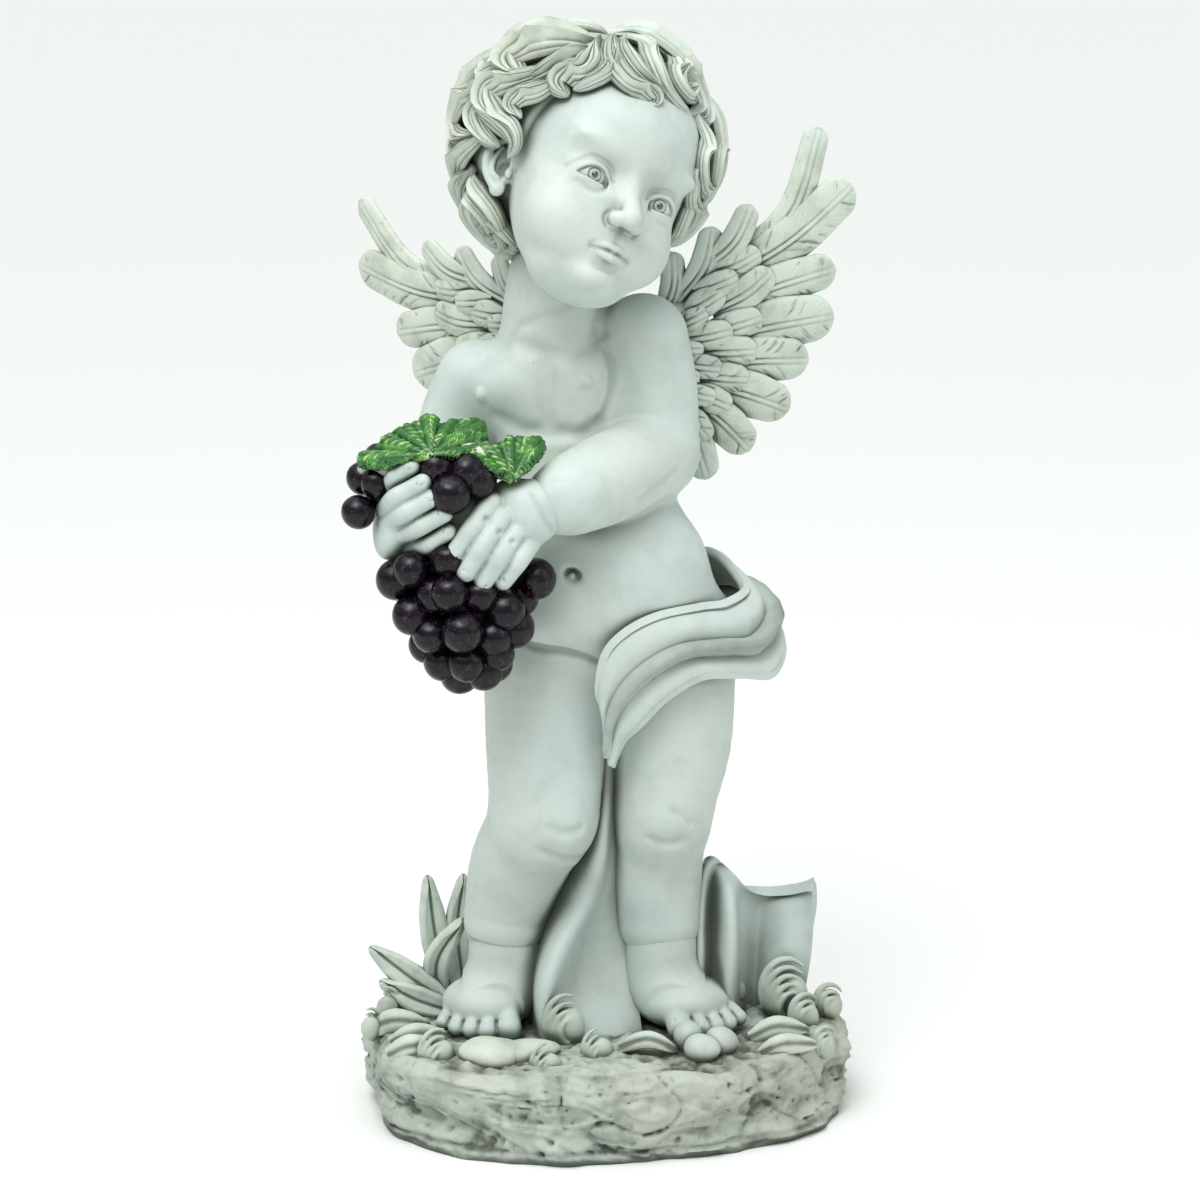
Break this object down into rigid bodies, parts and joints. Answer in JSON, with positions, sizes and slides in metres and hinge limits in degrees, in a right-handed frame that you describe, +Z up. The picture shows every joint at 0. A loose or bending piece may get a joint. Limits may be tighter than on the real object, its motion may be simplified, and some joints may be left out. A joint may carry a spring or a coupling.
{
  "type": "angel figurine",
  "caption": "Standing winged child angel in cast resin, holding a bunch of grapes with vine leaves, with a cloth round the hips, on an oval rock base.",
  "frame": {"origin": "centre of the flat underside of the rock base, on the surface it stands on", "axes": "+Z up through the figure, -Y the way the child's front faces, +X to the child's left"},
  "size_m": [0.2311, 0.1844, 0.5048],
  "materials": {
    "aged_resin": "matte cast resin in pale grey-green ivory with a darker wash in its hollows; grapes glossy purple-black, vine leaves green"
  },
  "bodies": {
    "root": {"angel_figurine": "aged_resin"}
  },
  "joints": []
}
